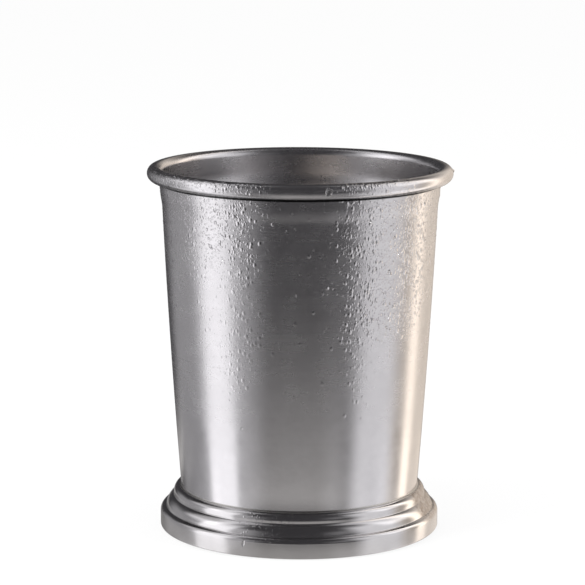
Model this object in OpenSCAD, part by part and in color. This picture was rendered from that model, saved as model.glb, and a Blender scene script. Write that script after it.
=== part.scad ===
// Julep cup: a tapered drinking cup drawn from one sheet of stainless steel, with its lip
// rolled outwards into a hollow bead. It stands on a hollow foot ring, pressed from sheet
// into three rounded steps, and a fillet of braze above and below holds the two together.
// Every piece is turned about the Z axis, so each one is a half section swept round it.
// Millimetres. +Z is up, and the origin is on the table at the middle of the foot.

/* [Lip] */
// Diameter across the rolled lip
lip_d = 85; // [80:0.5:90]
// Height of the whole cup
cup_h = 102.1; // [96:0.1:108]
// Thickness of the rolled bead
bead_d = 4.2; // [3.6:0.1:4.6]
// How far the curl turns, in degrees from where it leaves the wall
curl_turn = 300; // [270:1:305]

/* [Wall] */
// Thickness of the cup's sheet
sheet_t = 0.8; // [0.6:0.1:1]
// Radius of the wall where the foot is brazed on
wall_low_r = 33.4; // [32.8:0.1:33.8]
// How far the taper bows outwards, halfway up
wall_bow = 0.38; // [0:0.02:0.6]
// Step in radius where the wall was set out under the bead
flare = 0.38; // [0:0.02:0.5]
// How far below the bead's centre that step starts
flare_drop = 9.2; // [8.6:0.1:12]
// Height that it takes
flare_h = 5.2; // [3:0.1:6]

/* [Floor] */
// Height of the floor's underside above the table
floor_z = 5; // [4.4:0.1:5.6]
// Outer radius of the corner between floor and wall
corner_r = 4.5; // [3:0.1:5]

/* [Foot] */
// Thickness of the foot's sheet
foot_t = 0.8; // [0.6:0.1:0.9]
// Height of the foot, at its top edge
foot_h = 11.55; // [11.3:0.05:12]
// Radius of the top step
top_step_r = 35.5; // [35.3:0.05:35.8]
// Radius of the round on the top step
top_round = 2.2; // [2:0.05:2.4]
// Height of the crease under the top step
upper_crease_z = 8.75; // [8.5:0.05:9]
// Radius of the middle step
middle_step_r = 37.7; // [37.5:0.05:37.8]
// Lean of the middle step at its foot, in degrees from upright
middle_lean = 10; // [5:1:15]
// Height of the crease under the middle step
lower_crease_z = 5.6; // [5.4:0.05:5.8]
// Radius of the bottom band
band_r = 39.25; // [39.2:0.05:39.8]
// Radius of the round on top of the bottom band
band_round = 1.6; // [1.5:0.05:1.8]
// Radius of the hollow left in each crease by the press
crease_round = 0.25; // [0.2:0.05:0.35]
// Radius of the bend at the foot's bottom edge
bend_r = 0.4; // [0.3:0.05:0.6]
// Width of the turned-in edge that the cup stands on
rest_w = 3.4; // [2.5:0.1:4]

/* [Braze] */
// How far each fillet reaches up or down the wall from its corner
braze_leg = 0.5; // [0.4:0.05:0.6]

/* [Hidden] */

$fn = 180;
wall_steps = 24;
flare_steps = 13;
arc_steps = 16;
steel = [0.72, 0.72, 0.71];
foot_steel = [0.64, 0.64, 0.63];
braze_metal = [0.80, 0.78, 0.72];

// The bead's centre, and the wall's outer radius where the sheet runs into the curl
bead_r = bead_d / 2;
bead_x = lip_d / 2 - bead_r;
bead_z = cup_h - bead_r;
wall_top_r = bead_x - bead_r + sheet_t;

// Height where the wall starts to be set out
flare_z = bead_z - flare_drop;

// The floor's corner is a quarter round that ends on the wall
corner_z = floor_z + corner_r;
corner_x = wall_r(corner_z) - corner_r;

// Centres of the foot's rounds. The middle step is one arc from crease to crease.
top_centre = [top_step_r - top_round, foot_h - top_round];
step_w = middle_step_r - top_step_r;
step_h = upper_crease_z - lower_crease_z;
middle_round = (step_w * step_w + step_h * step_h)
    / (2 * (step_w * cos(middle_lean) - step_h * sin(middle_lean)));
middle_centre = [middle_step_r - middle_round * cos(middle_lean),
                 lower_crease_z - middle_round * sin(middle_lean)];
band_centre = [band_r - band_round, lower_crease_z - band_round];

// Centres of the two crease hollows, each of which touches the step above and the one below
upper_hollow = [top_step_r + crease_round,
                beside(middle_centre, middle_round + crease_round, top_step_r + crease_round)];
lower_hollow = crossing(middle_centre, middle_round + crease_round,
                        band_centre, band_round + crease_round);

// Height of the corner between the wall and the inner face of the foot's top step
inner_corner_z = beside(top_centre, top_round - foot_t, wall_low_r);

// Outer radius of the wall at height z: a taper with a slight bow, and a step below the bead.
// The step starts in a short bend and then eases out slowly.
function taper(z) = (z - foot_h) / (bead_z - foot_h);
function rise(s) = let (c = min(max(s, 0), 1)) c * c * (6 - c * (8 - 3 * c));
function wall_r(z) = wall_low_r + (wall_top_r - flare - wall_low_r) * taper(z)
    + 4 * wall_bow * taper(z) * (1 - taper(z)) + flare * rise((z - flare_z) / flare_h);

// Height of the upper point at radius x on a circle
function beside(centre, r, x) = centre[1] + sqrt(r * r - (x - centre[0]) * (x - centre[0]));

// Upper right crossing of two circles
function crossing(a, ra, b, rb) =
    let (d = b - a, l = norm(d), u = d / l, along = (ra * ra - rb * rb + l * l) / (2 * l))
    a + u * along + [-u[1], u[0]] * sqrt(ra * ra - along * along);

// Direction from one point to another, from 0 to 360 degrees
function heading(from, to) = (atan2(to[1] - from[1], to[0] - from[0]) + 360) % 360;

// Points along an arc of radius r
function arc(centre, r, start, end) =
    [for (i = [0:arc_steps])
        let (a = start + (end - start) * i / arc_steps) centre + r * [cos(a), sin(a)]];

// Heights up the wall, closer together where it is set out under the bead
wall_heights = concat(
    [for (i = [0:wall_steps]) corner_z + (flare_z - corner_z) * i / wall_steps],
    [for (i = [1:flare_steps]) flare_z + flare_h * i / flare_steps],
    [bead_z]);

// Everything inside the cup's surface, drawn in by inset
module cup_section(inset, top = 0) {
    polygon(concat(
        [[0, bead_z + top], [0, corner_z]],
        [for (z = wall_heights) [wall_r(z) - inset, z]],
        [[wall_top_r - inset, bead_z + top]]));
    translate([0, floor_z + inset]) square([corner_x, corner_r - inset]);
    translate([corner_x, corner_z]) circle(corner_r - inset);
}

// The sheet rolled outwards and under, open where its edge stops short of the wall
module curl_section() {
    far = 2 * bead_r;
    stop = 180 - curl_turn;
    translate([bead_x, bead_z]) difference() {
        circle(bead_r);
        circle(bead_r - sheet_t);
        polygon([[0, 0], [-far, 0], [-far, -far], [far * cos(stop), far * sin(stop)]]);
    }
}

// Points down the foot's stepped surface, drawn in by inset, from the wall to the band
function foot_line(inset) = concat(
    arc(top_centre, top_round - inset, 90, 0),
    arc(upper_hollow, crease_round + inset, 180, heading(upper_hollow, middle_centre)),
    arc(middle_centre, middle_round - inset,
        heading(middle_centre, upper_hollow), heading(middle_centre, lower_hollow)),
    arc(lower_hollow, crease_round + inset,
        heading(lower_hollow, middle_centre), heading(lower_hollow, band_centre)),
    arc(band_centre, band_round - inset, heading(band_centre, lower_hollow), 0));

// Everything under that surface. The outer side turns in round a bend, the inner one is square.
module foot_section(inset) {
    bend_x = band_r - bend_r;
    corner = inset < bend_r ? arc([bend_x, bend_r], bend_r, 0, -90) : [[band_r - inset, inset]];
    polygon(concat([[0, inset], [0, foot_h - inset]], foot_line(inset), corner));
}

// A triangle over the corner at height z, whose sloping side crosses the wall leg away from it.
// A negative leg goes down the wall. The parts of it inside the cup are cut off here.
module braze_section(z, leg) {
    reach = abs(leg);
    difference() {
        polygon([[wall_low_r - reach, z + 2 * leg],
                 [wall_low_r - reach, z - leg],
                 [wall_low_r + 2 * reach, z - leg]]);
        cup_section(0);
    }
}

// The drawn cup: floor, tapered wall and rolled lip in one sheet
module cup_body() {
    color(steel) rotate_extrude() {
        difference() {
            cup_section(0);
            cup_section(sheet_t, 1);
        }
        curl_section();
    }
}

// The hollow foot, whose top edge butts against the wall
module foot_ring() {
    color(foot_steel) rotate_extrude() difference() {
        foot_section(0);
        foot_section(foot_t);
        square([band_r - rest_w, foot_t]);
        cup_section(0);
    }
}

// The fillet that shows, in the corner over the foot
module upper_braze() {
    color(braze_metal) rotate_extrude() difference() {
        braze_section(foot_h, braze_leg);
        foot_section(0);
    }
}

// The hidden fillet, in the corner under the foot's top edge
module lower_braze() {
    color(braze_metal) rotate_extrude() intersection() {
        braze_section(inner_corner_z, -braze_leg);
        foot_section(foot_t);
    }
}

cup_body();
foot_ring();
upper_braze();
lower_braze();
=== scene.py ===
# %% [markdown]
# Julep cup, dressed
#
# This notebook puts the looks on a julep cup: a single-walled stainless steel beaker with a
# rolled lip, brazed onto a stepped foot. The engineering model fixes every size. It is loaded
# first, and each piece made here stands exactly where its solid stands.

# %% Load the solid model
import math
import random
import bpy
import numpy as np
from mathutils import Euler, Matrix, Vector


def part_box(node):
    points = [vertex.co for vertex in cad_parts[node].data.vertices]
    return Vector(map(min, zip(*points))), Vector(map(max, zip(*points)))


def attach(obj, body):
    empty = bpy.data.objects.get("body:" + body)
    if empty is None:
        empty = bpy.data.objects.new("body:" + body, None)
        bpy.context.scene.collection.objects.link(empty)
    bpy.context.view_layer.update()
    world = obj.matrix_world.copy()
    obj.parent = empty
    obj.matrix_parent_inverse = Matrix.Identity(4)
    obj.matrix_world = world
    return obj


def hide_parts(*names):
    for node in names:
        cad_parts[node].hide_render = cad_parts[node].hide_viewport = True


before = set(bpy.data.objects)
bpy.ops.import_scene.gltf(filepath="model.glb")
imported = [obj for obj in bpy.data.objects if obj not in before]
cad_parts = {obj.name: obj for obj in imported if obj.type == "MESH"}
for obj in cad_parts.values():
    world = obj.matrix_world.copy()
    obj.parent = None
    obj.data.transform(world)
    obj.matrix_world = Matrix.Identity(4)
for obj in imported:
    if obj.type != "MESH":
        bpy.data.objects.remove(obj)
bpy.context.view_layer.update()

print("solids:", ", ".join(sorted(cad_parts)))

# %% [markdown]
# The real sizes
#
# A turned object is described by one half section. These are the same driving sizes as in the
# solid model, in millimetres, so that the drawn curves below land on the solid's faces. Blender
# works in metres, and MM converts.

# %% Sizes of the cup and its foot
MM = 0.001
sheet_t = 0.8
lip_r = 42.5
cup_h = 102.1
bead_r = 2.1
bead_x = lip_r - bead_r
bead_z = cup_h - bead_r
curl_turn = 300
wall_low_r = 33.4
wall_top_r = bead_x - bead_r + sheet_t
wall_bow = 0.38
flare = 0.38
flare_drop = 9.2
flare_z = bead_z - flare_drop
flare_h = 5.2
floor_z = 5
corner_r = 4.5

foot_t = 0.8
foot_h = 11.55
top_step_r = 35.5
top_round = 2.2
upper_crease_z = 8.75
middle_step_r = 37.7
middle_lean = 10
lower_crease_z = 5.6
band_r = 39.25
band_round = 1.6
crease_round = 0.25
bend_r = 0.4
rest_w = 3.4
braze_leg = 0.5

print(f"lip {2 * lip_r} mm across, cup {cup_h} mm high")


# %% The wall's curve
def smooth(share):
    """An S-shaped rise from 0 to 1."""
    share = min(max(share, 0), 1)
    return share * share * (3 - 2 * share)


def set_out(share):
    """The step under the bead, from 0 to 1: a short bend that eases out slowly."""
    share = min(max(share, 0), 1)
    return share * share * (6 - share * (8 - 3 * share))


def wall_r(z):
    """Outer radius of the wall: a taper with a slight bow, and the step below the bead."""
    taper = (z - foot_h) / (bead_z - foot_h)
    straight = wall_low_r + (wall_top_r - flare - wall_low_r) * taper
    return straight + 4 * wall_bow * taper * (1 - taper) + flare * set_out((z - flare_z) / flare_h)


print(f"wall {2 * wall_r(foot_h):.1f} mm across at the foot, {2 * wall_r(bead_z):.1f} mm at the lip")

# %% [markdown]
# The camera
#
# The camera stands where the photographer stood: about 0.7 m in front of the cup, a little
# higher than the lip, looking down by ten degrees through a long lens. Its place was worked out
# from the shapes of the lip's and foot's ellipses. A long lens far away is what keeps the two
# sides of the cup nearly parallel.

# %% Camera
camera_place = Vector((0, -0.6983, 0.1917))
camera_pitch = math.radians(10.20)
camera_yaw = math.radians(0.167)
camera_roll = math.radians(0.157)

bpy.ops.object.select_all(action="DESELECT")
bpy.ops.object.camera_add(location=camera_place)
camera = bpy.context.object
camera.name = "photo_camera"
camera.data.sensor_width = 36
camera.data.lens = 156.0
aim = Euler((math.pi / 2 - camera_pitch, 0, camera_yaw)).to_matrix()
camera.rotation_euler = (aim @ Matrix.Rotation(camera_roll, 3, "Z")).to_euler()
bpy.context.scene.camera = camera
print(f"camera {camera_place.length:.3f} m from the foot, lens {camera.data.lens} mm")

# %% [markdown]
# Shader maths in plain Python
#
# Node trees are easier to read as formulas. A Wire holds one socket, and adding or multiplying
# wires adds the Math node for it. Any other kind of node comes from Graph.node, which takes the
# node's type, its settings and what goes into its sockets. The nodes that are used most have
# short names of their own.

# %% A small language for materials
class Wire:
    """One output socket, which can be used in sums."""

    def __init__(self, graph, socket):
        self.graph = graph
        self.socket = socket

    def __add__(self, other):
        return self.graph.maths("ADD", self, other)

    def __sub__(self, other):
        return self.graph.maths("SUBTRACT", self, other)

    def __rsub__(self, other):
        return self.graph.maths("SUBTRACT", other, self)

    def __mul__(self, other):
        return self.graph.maths("MULTIPLY", self, other)

    __radd__ = __add__
    __rmul__ = __mul__


class Graph:
    """The node tree of a material or of the world, emptied and ready to be filled."""

    def __init__(self, tree):
        self.tree = tree
        tree.nodes.clear()

    def node(self, kind, settings=None, **inputs):
        """Adds a node. Settings come first, because they can change which sockets it has."""
        made = self.tree.nodes.new(kind)
        for name, value in (settings or {}).items():
            setattr(made, name, value)
        for name, value in inputs.items():
            self.feed(made, name, value)
        return made

    def feed(self, node, name, value):
        """Sets or links one input, named as in Blender with _ for a space, or i and its number."""
        if name[0] == "i" and name[1:].isdigit():
            socket = node.inputs[int(name[1:])]
        else:
            socket = node.inputs[name.replace("_", " ")]
        if isinstance(value, Wire):
            self.tree.links.new(value.socket, socket)
        else:
            socket.default_value = value

    def wire(self, node, output=0):
        """One output of a node, by its number or its name."""
        return Wire(self, node.outputs[output])

    def maths(self, operation, *values):
        """A Math node."""
        feeds = {f"i{i}": value for i, value in enumerate(values)}
        return self.wire(self.node("ShaderNodeMath", {"operation": operation}, **feeds))

    def fade(self, value, start, end, at_start=0.0, at_end=1.0):
        """A smooth change from one number to another as value goes from start to end."""
        settings = {"interpolation_type": "SMOOTHSTEP"}
        made = self.node("ShaderNodeMapRange", settings, i0=value, i1=start, i2=end,
                         i3=at_start, i4=at_end)
        return self.wire(made)

    def blend(self, amount, first, second):
        """Mixes two colours."""
        made = self.node("ShaderNodeMix", {"data_type": "RGBA"}, i0=amount, i6=first, i7=second)
        return self.wire(made, 2)

    def tint(self, colour, amount):
        """A colour of light, made stronger or weaker."""
        made = self.node("ShaderNodeVectorMath", {"operation": "SCALE"}, i0=colour, Scale=amount)
        return self.wire(made)

    def add_light(self, first, second):
        """Two colours of light together."""
        made = self.node("ShaderNodeVectorMath", {"operation": "ADD"}, i0=first, i1=second)
        return self.wire(made)

    def noise(self, vector, scale, detail=2.0, roughness=0.5):
        """Cloudy values round 0.5, with about scale clouds to the metre."""
        made = self.node("ShaderNodeTexNoise", None, Vector=vector, Scale=scale,
                         Detail=detail, Roughness=roughness)
        return self.wire(made)

    def stretch(self, point, scale):
        """The point that a pattern is read at, scaled along each axis."""
        return self.wire(self.node("ShaderNodeMapping", None, Vector=point, Scale=scale))

    def object_point(self):
        """The point on the piece, in metres, and its three coordinates."""
        point = self.wire(self.node("ShaderNodeTexCoord"), "Object")
        split = self.node("ShaderNodeSeparateXYZ", None, Vector=point)
        return point, *(self.wire(split, axis) for axis in "XYZ")

    def surface(self, shader):
        """Makes a shader node the surface of the material, or the light of the world."""
        is_world = shader.bl_idname == "ShaderNodeBackground"
        kind = "ShaderNodeOutputWorld" if is_world else "ShaderNodeOutputMaterial"
        self.node(kind, None, Surface=self.wire(shader))


def new_material(name):
    """A material and its empty graph."""
    material = bpy.data.materials.new(name)
    material.use_nodes = True
    return material, Graph(material.node_tree)


# %% Directions round the cup
def azimuth_of(graph, x, y):
    """Degrees round the cup from straight ahead, with the right side positive."""
    return graph.maths("ARCTAN2", x, 0 - y) * (180 / math.pi)


def sector(graph, azimuth, middle, half, soft):
    """1 in a sector of directions round the cup, falling to 0 across its soft edges."""
    apart = graph.maths("ABSOLUTE", graph.maths("WRAP", azimuth - middle, 180, -180))
    return graph.fade(apart, half, half + soft, 1, 0)


# %% [markdown]
# The studio
#
# Metal has hardly any colour of its own: what is seen on it is the room. The cup in the
# photograph stands between two tall soft boxes. The left one has a bright core, with a glow round
# it and a weaker light behind it. The right one is softer, with a faint glow in front of it.
# Behind it come a warm edge, a narrow warm strip and a warm wall, which is lit again higher up.
# Two more panels, above the boxes, light the rounds of the lip and the foot. The room in front is
# dark, and it draws the dark middle of the cup.
#
# Soft boxes could be area lamps. Here a tent of cloth over the table is painted with their light
# instead, because a painted cloth can fade as softly as the real boxes do. The camera doesn't
# see the cloth, only the metal and the water do.

# %% Light painted on the studio's cloth
COOL = (0.98, 0.97, 1.0)
WARM = (1.0, 0.88, 0.755)
CREAM = (1.0, 0.87, 0.74)
PALE_CREAM = (1.0, 0.90, 0.80)
room_dark = (0.053, 0.051, 0.055)
cloth_r = 1.2
# Panels fade out over this height, at the top and at the bottom. Some start below the table.
panel_fade = 0.3
BELOW = -1
panels = [
    # name, azimuth of its middle, half width, soft edge, bottom, top, strength, colour
    ("left box", -77, 14, 4, BELOW, 0.78, 1.0, COOL),
    ("left glow", -66, 8, 34, BELOW, 0.55, 0.52, COOL),
    ("left rear", -115, 18, 20, -0.20, 0.24, 0.34, COOL),
    ("left top", -103, 12, 14, 0.60, 0.98, 1.0, COOL),
    ("right box", 73, 12, 18, BELOW, 0.78, 0.92, COOL),
    ("right glow", 40, 6, 17, 0.45, 0.55, 0.17, COOL),
    ("right top", 104, 12, 14, 0.60, 0.98, 0.95, COOL),
    ("warm edge", 106, 7, 11, BELOW, 0.55, 0.48, WARM),
    ("warm strip", 120, 4, 5.5, BELOW, 0.90, 1.12, WARM),
    ("warm wall", 139, 21, 12, BELOW, 0.27, 0.80, CREAM),
    ("warm rear", 150, 18, 15, 0.50, 0.50, 0.62, PALE_CREAM),
]


def studio_light(graph, azimuth, z):
    """The light of the cloth at one azimuth and height, as a colour."""
    light = room_dark
    for _, middle, half, soft, bottom, top, strength, colour in panels:
        amount = (sector(graph, azimuth, middle, half, soft) * strength
                  * graph.fade(z, bottom - panel_fade, bottom)
                  * graph.fade(z, top, top + panel_fade, 1, 0))
        light = graph.add_light(light, graph.tint(colour, amount))
    return light


def seen_only_by_metal(obj):
    """Leaves a piece of the studio out of all but reflections and refractions."""
    obj.visible_camera = False
    obj.visible_diffuse = False
    obj.visible_shadow = False


print("panels:", len(panels))

# %% The tent of cloth
bpy.ops.object.select_all(action="DESELECT")
bpy.ops.mesh.primitive_uv_sphere_add(segments=48, ring_count=24, radius=cloth_r,
                                     location=(0, 0, 0))
cloth = bpy.context.object
cloth.name = "studio_cloth"
bpy.ops.object.mode_set(mode="EDIT")
bpy.ops.mesh.select_all(action="SELECT")
bpy.ops.mesh.bisect(plane_co=(0, 0, -0.002), plane_no=(0, 0, 1), clear_inner=True)
bpy.ops.object.mode_set(mode="OBJECT")

material, graph = new_material("cloth_paint")
_, x, y, z = graph.object_point()
graph.surface(graph.node("ShaderNodeEmission", None, Strength=1.0,
                         Color=studio_light(graph, azimuth_of(graph, x, y), z)))
cloth.data.materials.append(material)
seen_only_by_metal(cloth)
print("studio cloth:", len(cloth.data.polygons), "faces")

# %% [markdown]
# The table
#
# The cup stands on an even white table. Most of the table's brightness is its own light, so that
# it is white out to the edge of the picture, and the rest is plain paint, which takes the cup's
# faint shadow.
#
# The wall leans outwards as it rises, so it faces a little downwards, and what it shows is mostly
# the table. Plain white would be mirrored as one even white, but in the photograph the boxes
# stand in the wall with dark between them. So a polished sheet just above the table mirrors the
# cloth, and glows a little where the real table was lit. Only the metal and the water see it.

# %% The table top
WHITE = (1, 1, 1, 1)
BLACK = (0, 0, 0, 1)
TABLE_PAINT = (0.88, 0.88, 0.88, 1)
own_light = 0.8

bpy.ops.object.select_all(action="DESELECT")
bpy.ops.mesh.primitive_plane_add(size=12, location=(0, 0, -0.0002))
table = bpy.context.object
table.name = "table_top"

material, graph = new_material("table_white")
paint = graph.node("ShaderNodeBsdfDiffuse", None, Color=TABLE_PAINT)
even_white = graph.node("ShaderNodeEmission", None, Color=WHITE, Strength=1.0)
graph.surface(graph.node("ShaderNodeMixShader", None, i0=own_light, i1=graph.wire(paint),
                         i2=graph.wire(even_white)))
table.data.materials.append(material)
print("table:", [round(v, 2) for v in table.dimensions], "m")

# %% The polished sheet
bpy.ops.object.select_all(action="DESELECT")
bpy.ops.mesh.primitive_circle_add(vertices=96, radius=cloth_r, fill_type="NGON",
                                  location=(0, 0, -0.0001))
polish = bpy.context.object
polish.name = "table_polish"

material, graph = new_material("table_reflection")
_, x, y, _ = graph.object_point()
distance = graph.maths("SQRT", x * x + y * y)
azimuth = azimuth_of(graph, x, y)

# The glow in front lights the dark middle of the wall from below. The foot's band mirrors the
# nearest part of it, which is weaker.
front = (sector(graph, azimuth, 0, 14, 44) * graph.fade(distance, 0.03, 0.28, 0.345, 0)
         * graph.fade(distance, 0.0595, 0.068, 0.47, 1.45)
         * graph.fade(distance, 0.067, 0.084, 1, 0.72))
# Two patches behind the left side lift the wall's left edge
left_rear = (graph.fade(distance, 0.06, 0.14, 0.15, 0) * sector(graph, azimuth, -120, 10, 16)
             + graph.fade(distance, 0.07, 0.20, 0.37, 0) * sector(graph, azimuth, -138, 9, 8))
left_rear = left_rear * graph.fade(distance, 0.060, 0.090, 0.45, 1)
# Right at the foot the table glows a little, and painted shadow darkens what it mirrors,
# most of all left of the middle
by_foot = graph.fade(distance, 0.040, 0.062, 0.22, 0)
painted_shadow_by_foot = (graph.fade(distance, 0.040, 0.062, 0.36, 0)
        + sector(graph, azimuth, -22, 5, 7) * graph.fade(distance, 0.058, 0.066, 0.30, 0))

glow = graph.tint((1, 0.975, 0.95), front + left_rear + by_foot)
graph.surface(graph.node("ShaderNodeBsdfPrincipled", None, Metallic=1.0, Roughness=0.05,
                         Base_Color=graph.blend(painted_shadow_by_foot, WHITE, BLACK), Emission_Color=glow,
                         Emission_Strength=1.0))
polish.data.materials.append(material)
seen_only_by_metal(polish)
print("polished sheet:", round(polish.dimensions.x, 2), "m across")

# %% [markdown]
# Room light and lamps
#
# Even light from all round keeps the table white. Two area lamps add the direction of the real
# soft boxes to the faint shadow. They are kept out of the reflections, because the painted cloth
# already shows the boxes there.

# %% World and lamps
world = bpy.data.worlds.new("studio_world")
bpy.context.scene.world = world
world.use_nodes = True
graph = Graph(world.node_tree)
graph.surface(graph.node("ShaderNodeBackground", None, Color=WHITE, Strength=1.0))

lamp_target = Vector((0, 0, 0.05))
lamps = [
    # name, place, size, watts
    ("left_softbox", (-0.70, -0.35, 0.65), 0.5, 5.5),
    ("right_softbox", (0.75, -0.20, 0.60), 0.4, 3.5),
]
for name, place, size, watts in lamps:
    bpy.ops.object.light_add(type="AREA", location=place)
    lamp = bpy.context.object
    lamp.name = name
    lamp.data.size = size
    lamp.data.energy = watts
    lamp.rotation_euler = (lamp_target - Vector(place)).to_track_quat("-Z", "Y").to_euler()
    lamp.visible_camera = False
    lamp.visible_glossy = False
bpy.context.scene.view_settings.view_transform = "Standard"
print("lamps:", len(lamps))

# %% [markdown]
# Turning a shape
#
# The cup and its foot were spun and pressed round, so their pieces are turned here too. A half
# section is drawn by extruding one vertex from point to point, and Spin sweeps it round the
# axis. Points that meet on the axis or at the seam are merged, and the normals are made to
# point outwards. Spinning one outline keeps every curve a true circle, which matters on metal:
# the eye reads the smallest flat in a reflection.

# %% A lathe
ROUND_STEPS = 256
MERGE = 1e-7
sharp_angle = math.radians(40)


def arc(centre, radius, start, end, steps):
    """Points along an arc, with its angles in degrees."""
    turns = [math.radians(start + (end - start) * i / steps) for i in range(steps + 1)]
    return [(centre[0] + radius * math.cos(a), centre[1] + radius * math.sin(a)) for a in turns]


def turned(name, outline, steps=ROUND_STEPS):
    """Spins an outline of (radius, height) points in millimetres round the Z axis."""
    start = Vector((outline[0][0], 0, outline[0][1])) * MM
    bpy.ops.object.select_all(action="DESELECT")
    bpy.ops.mesh.primitive_plane_add(size=0.001, location=start)
    piece = bpy.context.object
    piece.name = name
    piece.data.name = name
    bpy.ops.object.transform_apply(location=True)
    bpy.ops.object.mode_set(mode="EDIT")
    bpy.ops.mesh.select_all(action="SELECT")
    bpy.ops.mesh.merge(type="CENTER")
    here = start
    for radius, height in outline[1:]:
        there = Vector((radius, 0, height)) * MM
        bpy.ops.mesh.extrude_region_move(TRANSFORM_OT_translate={"value": there - here})
        here = there
    bpy.ops.mesh.select_all(action="SELECT")
    bpy.ops.mesh.remove_doubles(threshold=MERGE)
    bpy.ops.mesh.select_all(action="SELECT")
    bpy.ops.mesh.spin(steps=steps, angle=2 * math.pi, center=(0, 0, 0), axis=(0, 0, 1))
    bpy.ops.mesh.select_all(action="SELECT")
    bpy.ops.mesh.remove_doubles(threshold=MERGE)
    bpy.ops.mesh.normals_make_consistent(inside=False)
    bpy.ops.object.mode_set(mode="OBJECT")
    bpy.ops.object.shade_smooth_by_angle(angle=sharp_angle)
    return piece


def open_edges(piece):
    """How many edges don't have a face on each side."""
    uses = np.zeros(len(piece.data.edges), int)
    for polygon in piece.data.polygons:
        for key in polygon.loop_indices:
            uses[piece.data.loops[key].edge_index] += 1
    return int((uses != 2).sum())


# %% [markdown]
# The cup
#
# One sheet of steel makes the floor, the wall and the lip. The outline starts in the middle of
# the floor, climbs the inside of the wall, follows the curl of the lip round and under, comes
# back inside the curl, and goes down the outside of the wall to the middle of the underside.
# The curl stops just short of the wall. That slit, and painted shade on the steel in it, make
# the thin dark line under the bead.

# %% Turn the cup
corner_z = floor_z + corner_r
corner_x = wall_r(corner_z) - corner_r
taper_steps = 24
flare_steps = 20
last_z = bead_z - 2.4
wall_heights = (
    [corner_z + (flare_z - corner_z) * i / taper_steps for i in range(1, taper_steps + 1)]
    + [flare_z + flare_h * i / flare_steps for i in range(1, flare_steps + 1)]
    + [last_z]
)
floor_rings = [0, 10, 20]
curl_end = 180 - curl_turn
cup_outline = (
    [(r, floor_z + sheet_t) for r in floor_rings]
    + arc((corner_x, corner_z), corner_r - sheet_t, -90, 0, 8)
    + [(wall_r(z) - sheet_t, z) for z in wall_heights]
    + arc((bead_x, bead_z), bead_r, 180, curl_end, 50)
    + arc((bead_x, bead_z), bead_r - sheet_t, curl_end, 180, 30)
    + [(wall_r(z), z) for z in reversed(wall_heights)]
    + arc((corner_x, corner_z), corner_r, 0, -90, 8)
    + [(r, floor_z) for r in reversed(floor_rings)]
)
cup = turned("cup", cup_outline)
print("cup:", len(cup.data.polygons), "faces,", open_edges(cup), "open edges")

# %% [markdown]
# The foot
#
# The foot is a second strip of sheet, pressed into three rounded steps. Between the steps are
# tight hollow creases where the press tool's edge was rounded. The bottom edge turns in and
# gives the cup a narrow ring to stand on. The inner side follows the outer one at the thickness
# of the sheet.

# %% Where the foot's rounds lie
def beside(centre, radius, x):
    """Height of the upper point at x on a circle."""
    return centre[1] + math.sqrt(radius ** 2 - (x - centre[0]) ** 2)


def crossing(a, ra, b, rb):
    """Upper right crossing of two circles."""
    gap = Vector(b) - Vector(a)
    along = (ra ** 2 - rb ** 2 + gap.length ** 2) / (2 * gap.length)
    unit = gap.normalized()
    across = Vector((-unit.y, unit.x)) * math.sqrt(ra ** 2 - along ** 2)
    return tuple(Vector(a) + unit * along + across)


def heading(start, end):
    """Direction from one point to another, from 0 to 360 degrees."""
    return math.degrees(math.atan2(end[1] - start[1], end[0] - start[0])) % 360


top_centre = (top_step_r - top_round, foot_h - top_round)
step_w = middle_step_r - top_step_r
step_h = upper_crease_z - lower_crease_z
lean = math.radians(middle_lean)
middle_round = ((step_w ** 2 + step_h ** 2)
                / (2 * (step_w * math.cos(lean) - step_h * math.sin(lean))))
middle_centre = (middle_step_r - middle_round * math.cos(lean),
                 lower_crease_z - middle_round * math.sin(lean))
band_centre = (band_r - band_round, lower_crease_z - band_round)
upper_hollow = (top_step_r + crease_round,
                beside(middle_centre, middle_round + crease_round, top_step_r + crease_round))
lower_hollow = crossing(middle_centre, middle_round + crease_round,
                        band_centre, band_round + crease_round)
print(f"the middle step's arc has a radius of {middle_round:.2f} mm")

# %% Turn the foot
top_start = 88
edge_round = 0.12
rest_x = band_r - rest_w


def stepped_line(inset, steps):
    """Points down the foot's stepped side, drawn in by inset. The first lies in the wall."""
    return (
        arc(top_centre, top_round - inset, top_start, 0, 2 * steps)
        + arc(upper_hollow, crease_round + inset, 180, heading(upper_hollow, middle_centre), steps)
        + arc(middle_centre, middle_round - inset, heading(middle_centre, upper_hollow),
              heading(middle_centre, lower_hollow), 2 * steps)
        + arc(lower_hollow, crease_round + inset, heading(lower_hollow, middle_centre),
              heading(lower_hollow, band_centre), steps)
        + arc(band_centre, band_round - inset, heading(band_centre, lower_hollow), 0, 2 * steps)
    )


foot_outline = (
    stepped_line(0, 10)
    + arc((band_r - bend_r, bend_r), bend_r, 0, -90, 8)
    + arc((rest_x + edge_round, edge_round), edge_round, 270, 180, 3)
    + arc((rest_x + edge_round, foot_t - edge_round), edge_round, 180, 90, 3)
    + arc((band_r - foot_t - bend_r, foot_t + bend_r), bend_r, -90, 0, 5)
    + list(reversed(stepped_line(foot_t, 5)))
)
foot_outline.append(foot_outline[0])
foot = turned("foot", foot_outline)
print("foot:", len(foot.data.polygons), "faces,", open_edges(foot), "open edges")

# %% [markdown]
# The braze
#
# Braze is drawn into a warm joint and freezes with a small hollow face. The one that shows is a
# fine line round the corner where the wall meets the foot, and its twin is hidden underneath.
# Both are small turned rings. Their two flat sides lie just inside the steel, so that no gap
# opens between them.

# %% Turn the two braze rings
braze_sink = 0.12
hollow_steps = 6


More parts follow.
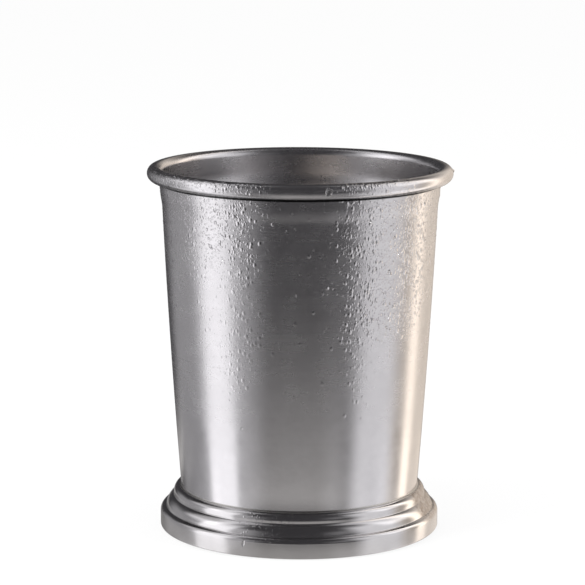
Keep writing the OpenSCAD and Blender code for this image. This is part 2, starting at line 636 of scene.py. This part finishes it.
def braze_outline(corner, leg):
    """Three-cornered section at a corner of the joint, with a hollow face. A negative leg hangs."""
    x, z = corner
    side = abs(leg)
    inner_x = x - braze_sink
    sunk_z = z - math.copysign(braze_sink, leg)
    turns = [math.radians(90 * i / hollow_steps) for i in range(hollow_steps + 1)]
    hollow = [(x + side * (1 - math.cos(t)), z + leg * (1 - math.sin(t))) for t in turns]
    return [(inner_x, z + leg), *hollow, (x + side, sunk_z), (inner_x, sunk_z),
            (inner_x, z + leg)]


inner_corner_z = beside(top_centre, top_round - foot_t, wall_low_r)
upper_braze = turned("upper_braze_line", braze_outline((wall_low_r, foot_h), braze_leg))
lower_braze = turned("lower_braze_line", braze_outline((wall_low_r, inner_corner_z), -braze_leg))
print("braze:", len(upper_braze.data.polygons) + len(lower_braze.data.polygons), "faces")

# %% [markdown]
# Fine dew and painted shade
#
# Most of the dew on the cup is finer than a millimetre. It could be modelled, but that many drops
# would be slow and wouldn't look any different. Instead small domes are scattered with a Voronoi
# pattern, which gives each cell a random colour: where that is under the wanted cover, the cell
# gets a dome in the metal's bump. This dew covers the upper wall, except for the middle of its
# front, two stretches of the lip and a little of the foot. Brown spots of painted warm shade are
# mottled over the right side of the foot, and on its left the creases are darkened with painted
# shade.

# %% Domes too fine to model
def fine_dew(graph, point, spacing, cover):
    """Height of small domes scattered over the metal, from 0 to 1. Cover is how many there are."""
    drawn_out = graph.stretch(point, (1, 1, 0.75))
    cells = graph.node("ShaderNodeTexVoronoi", None, Vector=drawn_out, Scale=1 / spacing)
    distance = graph.wire(cells, "Distance")
    chosen = graph.wire(graph.node("ShaderNodeSeparateColor", None,
                                   Color=graph.wire(cells, "Color")))
    there = graph.maths("LESS_THAN", chosen, cover)
    return graph.maths("MAXIMUM", 1 - distance * distance * 5.5, 0) * there


# %% Where the dew lies
dew_top = 97.6


def dew_on_cup(graph, point, azimuth, z):
    """How much of the cup is covered with dew, from 0 to 1."""
    from_front = graph.maths("ABSOLUTE", azimuth)
    at_sides = graph.fade(from_front, 36, 62) * graph.fade(from_front, 95, 135, 1, 0)
    low = graph.noise(point, 90, 2) * 0.02 + 0.024 + at_sides * 0.017
    ragged_front = from_front + z * 60 + graph.noise(point, 70, 2) * 8
    wall = (graph.fade(z - low, 0, 0.025) * graph.fade(ragged_front, 22, 33, 0.04, 1)
            * graph.fade(z, (dew_top - 1) * MM, dew_top * MM, 1, 0))
    lip_parts = sector(graph, azimuth, -44, 28, 8) + sector(graph, azimuth, 31, 12, 6)
    return wall + lip_parts * graph.fade(z, 0.0988, 0.0996)


def dew_on_foot(graph, point, azimuth, z):
    """A little has run down onto the foot's front, and more onto its right."""
    parts = sector(graph, azimuth, -12, 8, 9) * 0.6 + sector(graph, azimuth, 78, 9, 6)
    return parts * graph.fade(z, 0.0040, 0.0055)


# %% How high the dew stands
COARSE_SPACING, COARSE_HEIGHT = 0.0012, 0.00011
FINE_SPACING, FINE_HEIGHT = 0.0006, 0.000045


def dew_relief(graph, point, x, azimuth, z, cover):
    """Height of the dew in metres, and where it lies, from 0 to 1."""
    # Coarse domes are for the wall: many towards the front, few at the sides, and more in a patch
    # high up on the right
    front = graph.fade(graph.maths("ABSOLUTE", azimuth), 25, 38, 0.85, 0.15)
    patch = sector(graph, azimuth, 60, 12, 10) * graph.fade(z, 0.060, 0.070) * 0.7
    on_wall_only = graph.maths("GREATER_THAN", z, 0.012)
    coarse = fine_dew(graph, point, COARSE_SPACING, cover * (front + patch) * on_wall_only)
    fine = fine_dew(graph, point, FINE_SPACING, cover * 0.9)
    # Full size above this line, which is lower on the right, and a third of it below. The dew
    # is bolder on the lip's left end and on the foot's right.
    low_line = graph.fade(x, -0.008, 0.008, 0.071, 0.052)
    on_lip = graph.fade(z, 0.0978, 0.0990) * sector(graph, azimuth, -57, 10, 8) * 0.6
    on_foot = graph.fade(z, 0.010, 0.013, 1, 0) * (0.3 + sector(graph, azimuth, 78, 9, 6) * 0.9)
    size = graph.fade(z - low_line, 0, 0.015, 0.35, 1) + on_lip + on_foot
    height = (coarse * COARSE_HEIGHT + fine * FINE_HEIGHT) * size
    return height, graph.maths("MAXIMUM", coarse, fine)


# %% Painted shade on the foot
WARM_SHADE_COLOUR = (0.30, 0.25, 0.21, 1)
CREASE_SHADE_COLOUR = (0.16, 0.15, 0.14, 1)


def painted_foot_shade(graph, point, azimuth, z, tone):
    """Painted shade: brown spots of warm shade on the foot's right, and darker creases on its left.
    """
    # Painted warm shade: brown spots mottled over the foot's right side
    spots = graph.fade(graph.noise(point, 900, 3, 0.6), 0.38, 0.62, 0.35, 0.80)
    painted_warm_shade = sector(graph, azimuth, 80, 13, 6) * graph.fade(z, 0.0040, 0.0060) * spots
    # Painted shade: the creases on the foot's left are darkened
    creases = (graph.fade(z, 0.0103, 0.0109)
               + graph.fade(z, 0.0074, 0.0080) * graph.fade(z, 0.0089, 0.0092, 1, 0)
               + graph.fade(z, 0.0046, 0.0051) * graph.fade(z, 0.0058, 0.0061, 1, 0))
    painted_crease_shade = sector(graph, azimuth, -46, 6, 10) * creases * 0.5
    return graph.blend(painted_crease_shade, graph.blend(painted_warm_shade, tone, WARM_SHADE_COLOUR), CREASE_SHADE_COLOUR)


# %% [markdown]
# Satin steel
#
# The cup is satin stainless steel. It is dry and crisper on the lower third, and above that a
# breath of condensation makes the reflections softer. The spinning left fine rings that run
# round the wall. Little light finds its way out of the slit under the bead, so the steel's
# colour is darkened inside it. The steel is one metallic shader, whose colour, roughness and
# bump change over the surface. The cup, the foot and the braze are three mixtures of it.

# %% Steel material
SLIT_SHADE = (0.03, 0.03, 0.03, 1)
RING_SCALE = (10, 10, 1000)
MIST_HEIGHT = 0.0000035


def outer_side(graph, radius, z):
    """1 on the outer side of the cup's sheet, and 0 on its inner side."""
    # The step under the bead is left out, because it is less than half the sheet
    taper = (z - foot_h * MM) * (1 / (bead_z - foot_h) / MM)
    mid_sheet = (taper * (wall_top_r - flare - wall_low_r) + taper * (1 - taper) * 4 * wall_bow
                 + wall_low_r - sheet_t / 2) * MM
    return graph.maths("GREATER_THAN", radius, mid_sheet)


def steel_material(name, colour, roughness, ring_height, fogged=None, dew_cover=None,
                   painted_shading=None):
    """Fogged holds the heights where the fog starts and is full, and the roughness in it."""
    material, graph = new_material(name)
    point, x, y, z = graph.object_point()
    outside = outer_side(graph, graph.maths("SQRT", x * x + y * y), z)
    rings = graph.noise(graph.stretch(point, RING_SCALE), 1.0, 2, 0.5)
    mottle = graph.noise(point, 160, 4, 0.6)
    relief = rings * ring_height
    if fogged:
        fog_from, fog_to, fog_roughness = fogged
        ragged = (graph.noise(point, 60, 4, 0.6) - 0.5) * 0.045
        fog = graph.fade(z + ragged, fog_from, fog_to)
        roughness = graph.fade(fog, 0, 1, roughness, fog_roughness)
        relief = relief + graph.noise(point, 2200, 2, 0.6) * fog * MIST_HEIGHT
    roughness = roughness + (mottle - 0.5) * 0.08 + (rings - 0.5) * 0.05
    darker = tuple(c * 0.95 for c in colour)
    tone = graph.blend(graph.fade(mottle, 0.35, 0.65), (*darker, 1), (*colour, 1))
    if dew_cover:
        azimuth = azimuth_of(graph, x, y)
        cover = dew_cover(graph, point, azimuth, z) * outside
        height, drops = dew_relief(graph, point, x, azimuth, z, cover)
        relief = relief + height
        roughness = roughness - drops * 0.10
        if painted_shading:
            tone = painted_shading(graph, point, azimuth, z, tone)
    # Painted shade: the steel's colour is darkened in the slit under the bead, where little light
    # gets in
    slit = graph.fade(z, 0.09705, 0.09722) * graph.fade(z, 0.0981, 0.0984, 1, 0) * outside
    tone = graph.blend(slit, tone, SLIT_SHADE)
    bump = graph.node("ShaderNodeBump", None, Strength=1.0, Distance=1.0, Height=relief)
    graph.surface(graph.node("ShaderNodeBsdfPrincipled", None, Base_Color=tone, Metallic=1.0,
                             Roughness=roughness, Normal=graph.wire(bump)))
    return material


# %% Three mixtures of steel
cup.data.materials.append(steel_material(
    "satin_steel", (0.64, 0.63, 0.635), roughness=0.19, ring_height=0.000003,
    fogged=(0.024, 0.042, 0.265), dew_cover=dew_on_cup))
foot.data.materials.append(steel_material(
    "foot_steel", (0.62, 0.61, 0.61), roughness=0.17, ring_height=0.000004,
    dew_cover=dew_on_foot, painted_shading=painted_foot_shade))
for piece in (upper_braze, lower_braze):
    piece.data.materials.append(steel_material(
        "braze_metal", (0.50, 0.49, 0.47), roughness=0.35, ring_height=0.000002))
for piece in (cup, foot, upper_braze, lower_braze):
    nodes = piece.data.materials[0].node_tree.nodes
    print(piece.name, "is", piece.data.materials[0].name, "with", len(nodes), "nodes")

# %% [markdown]
# Condensation
#
# The cup held something cold, and dew covers its wall down to a ragged line below the middle.
# The larger drops are modelled. They are biggest under the lip, fewer in front and smaller lower
# down. A drop is a low dome of clear water that bends the view of the metal under it. It is
# modelled once by turning a half dome with few faces, because many are needed. Each copy is then
# scaled, turned, made a little uneven and laid on the metal in code. Drops never overlap, because
# real ones would run together.

# %% Places on the metal
# A place is a radius and a height in millimetres, the angle of the metal's normal above level,
# and how strongly the metal curves away above and below it.
def on_wall(z):
    """A place on the wall's outer face."""
    slope = (wall_r(z + 0.05) - wall_r(z - 0.05)) / 0.1
    return wall_r(z), z, -math.atan(slope), 0


def on_band(z):
    """A place on the foot's upright band."""
    return band_r, z, 0, 0


def on_bead(tilt):
    """A place on the lip, by its normal's angle above level in degrees."""
    t = math.radians(tilt)
    return bead_x + bead_r * math.cos(t), bead_z + bead_r * math.sin(t), t, 1 / bead_r


def frame_at(azimuth, radius, z, tilt):
    """Centre, sideways, upwards and outwards directions at one azimuth."""
    a = math.radians(azimuth)
    out = np.array((math.sin(a), -math.cos(a), 0))
    up = np.array((0, 0, 1.0))
    side = np.array((math.cos(a), math.sin(a), 0))
    normal = math.cos(tilt) * out + math.sin(tilt) * up
    climb = math.cos(tilt) * up - math.sin(tilt) * out
    return radius * out + z * up, side, climb, normal


# %% One drop
drop_sides = 10
drop_outline = [(0, 1), (0.55, 0.72), (0.86, 0.3), (1, -0.15), (0, -0.15)]
dome = turned("round_drop", [(r / MM, z / MM) for r, z in drop_outline], drop_sides)
drop_points = np.array([tuple(v.co) for v in dome.data.vertices])
drop_faces = [tuple(p.vertices) for p in dome.data.polygons]
bpy.data.objects.remove(dome)
print("one drop:", len(drop_points), "points,", len(drop_faces), "faces")


# %% Many drops
def dew(name, drops, seed):
    """One mesh of drops: (azimuth, place, radius, height, stretch, lean) each, in millimetres."""
    chance = random.Random(seed)
    angle = np.arctan2(drop_points[:, 1], drop_points[:, 0])
    all_points = []
    all_faces = []
    for azimuth, (wall_radius, z, tilt, curve), radius, height, stretch, lean in drops:
        centre, side, climb, normal = frame_at(azimuth, wall_radius, z, tilt)
        uneven = (1 + chance.uniform(0, 0.10) * np.cos(2 * angle + chance.uniform(0, 6.28))
                  + chance.uniform(0, 0.10) * np.cos(3 * angle + chance.uniform(0, 6.28)))
        across = drop_points[:, 0] * uneven * radius / math.sqrt(stretch)
        along = drop_points[:, 1] * uneven * radius * math.sqrt(stretch)
        sideways = across * math.cos(lean) - along * math.sin(lean)
        upwards = across * math.sin(lean) + along * math.cos(lean)
        rise = drop_points[:, 2] * height - upwards ** 2 * curve / 2
        laid = np.outer(sideways, side) + np.outer(upwards, climb) + np.outer(rise, normal) + centre
        start = len(all_points) * len(drop_points)
        all_points.append(laid * MM)
        all_faces += [tuple(start + i for i in face) for face in drop_faces]
    mesh = bpy.data.meshes.new(name)
    mesh.from_pydata(np.concatenate(all_points).tolist(), [], all_faces)
    mesh.polygons.foreach_set("use_smooth", [True] * len(mesh.polygons))
    piece = bpy.data.objects.new(name, mesh)
    bpy.context.scene.collection.objects.link(piece)
    return piece


class Crowd:
    """Keeps drops apart: a place is free when no drop is closer than their radii and a gap."""

    def __init__(self, cell, gap):
        self.cell = cell
        self.gap = gap
        self.cells = {}

    def take(self, u, v, radius):
        """Takes a place if it is free, and says whether it was."""
        i, j = int(u // self.cell), int(v // self.cell)
        for near_i in (i - 1, i, i + 1):
            for near_j in (j - 1, j, j + 1):
                for other_u, other_v, other in self.cells.get((near_i, near_j), ()):
                    if math.hypot(u - other_u, v - other_v) < (radius + other) * self.gap:
                        return False
        self.cells.setdefault((i, j), []).append((u, v, radius))
        return True


# %% [markdown]
# Where the drops are
#
# Places are tried at random, and each is kept or skipped by a chance that changes over the wall:
# none below the ragged line, few in front, many at the sides. The size of a drop is random too.
# Most are small, and they get smaller towards the sides and lower down.

# %% Chance and size of a drop
def dew_line(azimuth):
    """Height of the ragged line where the dew stops."""
    a = math.radians(azimuth)
    sides = smooth((abs(azimuth) - 36) / 26) * (1 - smooth((abs(azimuth) - 95) / 40))
    waves = 2.5 * math.sin(5 * a + 1) + 1.8 * math.sin(11 * a) + 1.2 * math.sin(23 * a + 2)
    return 43 + 15 * sides + waves


def drop_chance(azimuth, z):
    """How likely a drop is at a place, from 0 to 1."""
    above = smooth((z - dew_line(azimuth)) / 12)
    middle = 0.10 + 0.90 * smooth((abs(azimuth) - 11) / 12)
    return above * middle * smooth((dew_top - z) / 1.0)


def drop_share(azimuth, z):
    """Share of its full size that a drop has: all of it under the lip, a third lower down."""
    low_line = 71 - 19 * smooth(2.3 * math.sin(math.radians(azimuth)) + 0.5)
    lower_down = 0.35 + 0.65 * smooth((z - low_line) / 15)
    off_front = 1 - 0.45 * smooth((abs(azimuth) - 40) / 15)
    at_sides = 1 - 0.4 * smooth((abs(azimuth) - 64) / 10) * smooth((116 - abs(azimuth)) / 10)
    return off_front * lower_down * at_sides


# %% Drops on the wall
tries = 5200
dew_bottom = 36
mean_r = 37
smallest, largest = 0.1, 0.75
chance = random.Random(11)
crowd = Crowd(cell=1.6, gap=1.2)
wall_drops = []
for _ in range(tries):
    azimuth = chance.uniform(-180, 180)
    z = chance.uniform(dew_bottom, dew_top)
    if chance.random() > drop_chance(azimuth, z):
        continue
    radius = min(0.23 * math.exp(chance.gauss(0, 0.40)) + 0.05, largest)
    radius *= drop_share(azimuth, z)
    if radius > smallest and crowd.take(math.radians(azimuth) * mean_r, z, radius):
        wall_drops.append((azimuth, on_wall(z), radius, radius * chance.uniform(0.55, 0.75),
                           chance.uniform(1.0, 1.9), chance.gauss(0, 0.4)))
print("wall drops:", len(wall_drops))

# %% Single drops on the lip, the foot and the wall
single_drops = [
    # azimuth, place, radius, height, stretch, lean
    (10.2, on_bead(8), 1.2, 0.85, 1.25, 0.0),
    (39.5, on_bead(66), 0.95, 0.32, 0.28, 0.0),
    (88, on_bead(20), 0.55, 0.40, 1.2, 0.0),
    (-22.6, on_band(3.7), 0.75, 0.50, 2.2, -0.1),
    (-26.4, on_wall(34.2), 0.40, 0.28, 1.5, 0.2),
    (5.5, on_wall(84), 0.42, 0.28, 1.4, 0.0),
    (39.6, on_wall(76.9), 0.60, 0.40, 1.3, 0.3),
]
print("single drops:", len(single_drops))

# %% Water
WATER_BENDS = 1.333
water, graph = new_material("dew_water")
graph.surface(graph.node("ShaderNodeBsdfPrincipled", None, Base_Color=WHITE, Roughness=0.03,
                         IOR=WATER_BENDS, Transmission_Weight=1.0))

for name, drops, seed in (("wall_dew", wall_drops, 21), ("single_drops", single_drops, 23)):
    piece = dew(name, drops, seed)
    piece.data.materials.append(water)
    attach(piece, "root")
    print(name, len(drops), "drops,", len(piece.data.polygons), "faces")

# %% [markdown]
# Taking the solids' places
#
# Each dressed piece stands in for one solid of the engineering model and rides on the same body.
# The two boxes printed for each show that they fill the same space.

# %% The pieces take the places of their solids
for piece, node, slot in ((cup, "cup_body", "satin_steel"), (foot, "foot_ring", "foot_steel"),
                          (upper_braze, "upper_braze", "braze"),
                          (lower_braze, "lower_braze", "braze")):
    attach(piece, "root")
    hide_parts(node)
    low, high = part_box(node)
    own = [Vector(corner) for corner in piece.bound_box]
    print(node, "solid", [round(v / MM, 2) for v in (*low, *high)],
          "piece", [round(v / MM, 2) for v in (*own[0], *own[6])])
